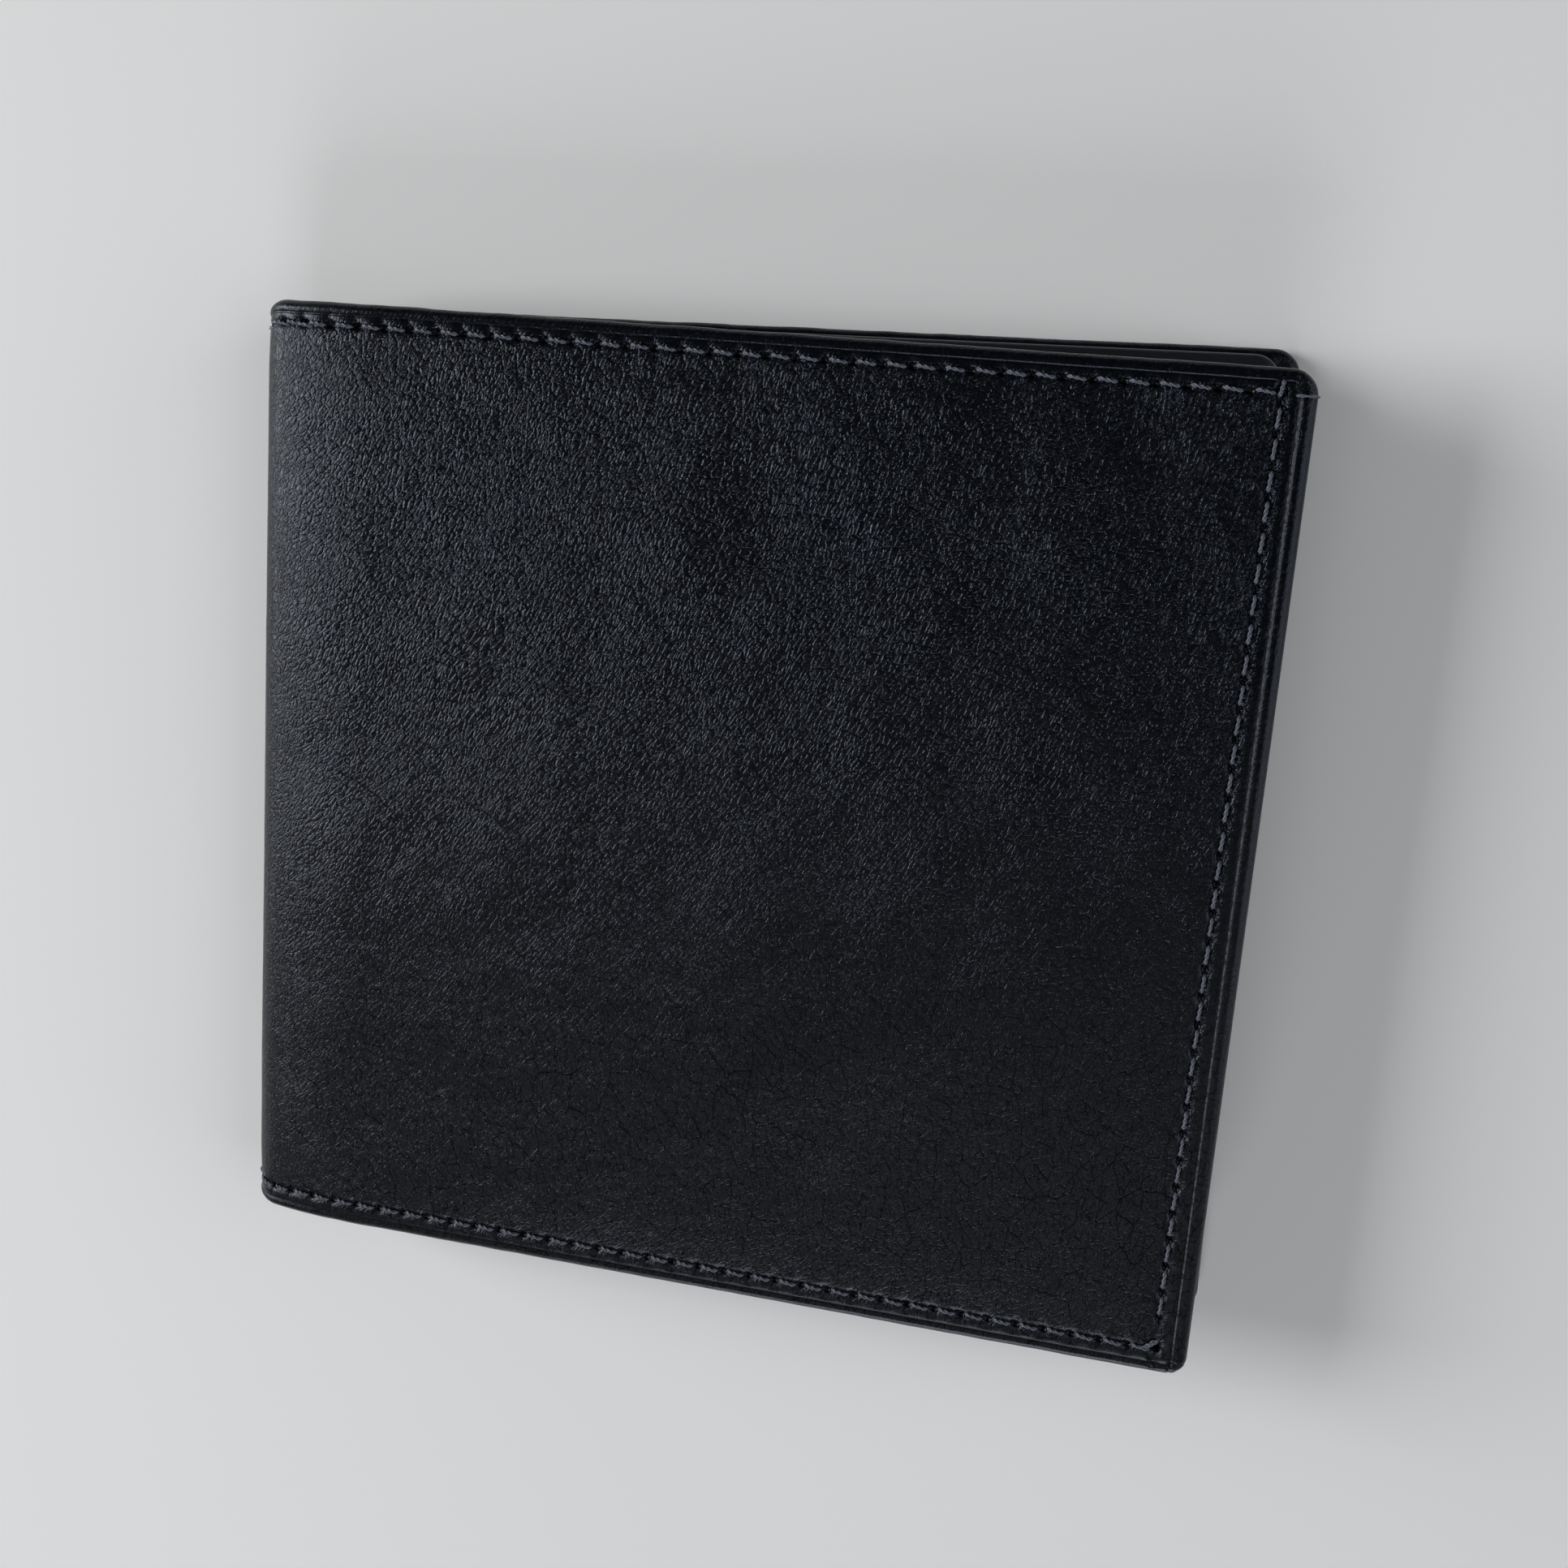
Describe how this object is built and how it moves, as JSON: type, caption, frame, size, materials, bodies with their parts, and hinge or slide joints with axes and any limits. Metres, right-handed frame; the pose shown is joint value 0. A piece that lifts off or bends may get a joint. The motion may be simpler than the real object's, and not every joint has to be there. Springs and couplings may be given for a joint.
{
  "type": "book-style wallet with a centre leaf",
  "caption": "Closed leather wallet with turned and stitched covers, a flexible spine and a centre leaf, which opens flat like a book.",
  "frame": {"origin": "middle of the back cover's outer face, halfway up the fold and half the cover's width from it", "axes": "+X from the fold to the free edges, +Y up the covers towards the note compartment's mouth, +Z from the back cover to the front cover"},
  "size_m": [0.1056, 0.1024, 0.0124],
  "materials": {
    "outer_leather": "satin black leather with a fine natural grain",
    "inner_leather": "smooth thin black leather",
    "thread": "twisted waxed dark navy thread",
    "lining": "fine woven black lining",
    "board": "bonded leather board",
    "window": "clear flexible film"
  },
  "bodies": {
    "back_cover": {"back_bottom_seam": "thread", "back_card_pocket_1": "inner_leather", "back_card_pocket_2": "inner_leather", "back_card_pocket_3": "inner_leather", "back_inner_panel": "inner_leather", "back_note_lining": "lining", "back_outer_leather": "outer_leather", "back_reinforcement": "board", "back_side_seam": "thread", "back_top_seam": "thread"},
    "spine": {"spine_bottom_seam": "thread", "spine_hinge_tape": "inner_leather", "spine_lining": "lining", "spine_outer_leather": "outer_leather", "spine_reinforcement": "board", "spine_top_seam": "thread"},
    "front_cover": {"front_bottom_seam": "thread", "front_card_pocket_1": "inner_leather", "front_card_pocket_2": "inner_leather", "front_card_pocket_3": "inner_leather", "front_inner_panel": "inner_leather", "front_note_lining": "lining", "front_outer_leather": "outer_leather", "front_reinforcement": "board", "front_side_seam": "thread", "front_top_seam": "thread"},
    "centre_leaf": {"leaf_back_panel": "inner_leather", "leaf_board": "board", "leaf_card_pocket": "inner_leather", "leaf_card_window": "window", "leaf_front_panel": "inner_leather", "leaf_hinge_strip": "inner_leather", "leaf_seam": "thread"}
  },
  "joints": [
    {"name": "spine_fold", "type": "hinge", "parent": "back_cover", "child": "spine", "pos_m": [-0.0525, 0, 0], "axis": [0, -1, 0], "range_deg": [0, 90]},
    {"name": "front_fold", "type": "hinge", "parent": "spine", "child": "front_cover", "pos_m": [-0.0525, 0, 0.0108], "axis": [0, -1, 0], "range_deg": [0, 89.1]},
    {"name": "leaf_turn", "type": "hinge", "parent": "spine", "child": "centre_leaf", "pos_m": [-0.04985, 0, 0.0056], "axis": [0, -1, 0], "range_deg": [0, 60]}
  ],
  "couplings": [
    {"joint": "front_fold", "follows": "spine_fold", "ratio": 0.99},
    {"joint": "leaf_turn", "follows": "spine_fold", "ratio": 0.6666}
  ]
}
